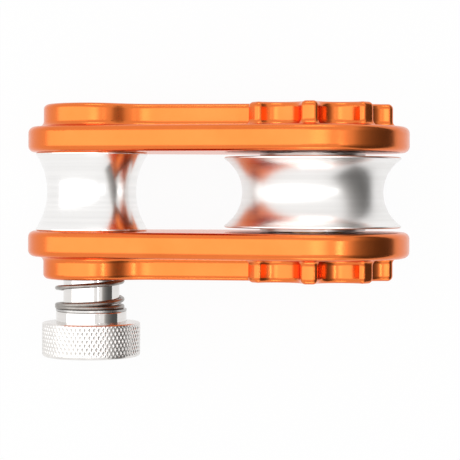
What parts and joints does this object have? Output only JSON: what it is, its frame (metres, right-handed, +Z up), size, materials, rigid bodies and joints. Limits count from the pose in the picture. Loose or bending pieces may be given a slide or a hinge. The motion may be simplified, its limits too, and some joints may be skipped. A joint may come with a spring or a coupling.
{
  "type": "rope grab",
  "caption": "Two ribbed cheek plates carry a grooved sheave and a fixed post for a rope; one cheek swings open when its sprung, knurled lock screw is turned out.",
  "frame": {"origin": "centre of the sheave: on its axle and midway between the cheek plates", "axes": "+Y along the sheave axle, from the swinging cheek to the fixed cheek; -X towards the post; +Z up, with the grab lying on the back edges of both cheeks"},
  "size_m": [0.0942, 0.0627, 0.0476],
  "materials": {
    "anodised_orange": "orange anodised, satin",
    "polished_aluminium": "polished",
    "turned_aluminium": "fine turned",
    "bright_steel": "ground",
    "zinc_steel": "zinc plated",
    "brushed_washer": "brushed stainless",
    "bush_bronze": "plain bronze",
    "polished_steel": "polished stainless",
    "knurled_steel": "diamond knurled stainless",
    "spring_steel": "drawn spring wire",
    "bearing_steel": "ground bearing steel",
    "cage_nylon": "moulded nylon",
    "seal_rubber": "moulded rubber seal"
  },
  "bodies": {
    "frame": {"upper_cheek_plate": "anodised_orange", "rope_post": "polished_aluminium", "post_dowel_pins": "bright_steel", "post_screw": "zinc_steel", "axle_bolt": "zinc_steel", "upper_axle_spacer": "bright_steel", "upper_side_washer": "brushed_washer", "lower_side_washer": "brushed_washer", "upper_bearing_inner_ring": "bearing_steel", "inner_ring_spacer": "bright_steel", "lower_bearing_inner_ring": "bearing_steel", "pivot_bush": "bush_bronze", "nut_washer": "brushed_washer", "axle_nut": "zinc_steel"},
    "sheave_wheel": {"sheave": "turned_aluminium", "upper_bearing_outer_ring": "bearing_steel", "lower_bearing_outer_ring": "bearing_steel", "upper_bearing_seals": "seal_rubber", "lower_bearing_seals": "seal_rubber"},
    "ball_trains": {"upper_bearing_balls": "bearing_steel", "upper_bearing_cage": "cage_nylon", "lower_bearing_balls": "bearing_steel", "lower_bearing_cage": "cage_nylon"},
    "swing_cheek": {"lower_cheek_plate": "anodised_orange", "lock_spring": "spring_steel"},
    "lock_slide": {"slip_washer": "brushed_washer"},
    "lock_screw": {"lock_pin": "polished_steel", "knurled_knob": "knurled_steel", "knob_screw": "zinc_steel", "pin_retaining_ring": "spring_steel"}
  },
  "joints": [
    {"name": "sheave_spin", "type": "hinge", "parent": "frame", "child": "sheave_wheel", "pos_m": [0, 0, 0], "axis": [0, 1, 0], "continuous": true},
    {"name": "ball_train_spin", "type": "hinge", "parent": "frame", "child": "ball_trains", "pos_m": [0, 0, 0], "axis": [0, 1, 0], "continuous": true},
    {"name": "cheek_swing", "type": "hinge", "parent": "frame", "child": "swing_cheek", "pos_m": [0, 0, 0], "axis": [0, 1, 0], "range_deg": [-170, 170]},
    {"name": "lock_travel", "type": "slide", "parent": "swing_cheek", "child": "lock_slide", "axis": [0, 1, 0], "range_m": [0, 0.006], "deforming": ["lock_spring"]},
    {"name": "knob_turn", "type": "hinge", "parent": "lock_slide", "child": "lock_screw", "pos_m": [-0.05462, -0.0293, -0.008], "axis": [0, 1, 0], "range_deg": [0, 1440]}
  ],
  "couplings": [
    {"joint": "ball_train_spin", "follows": "sheave_spin", "ratio": 0.6322},
    {"joint": "knob_turn", "follows": "lock_travel", "rad_per_m": 4188.8}
  ]
}
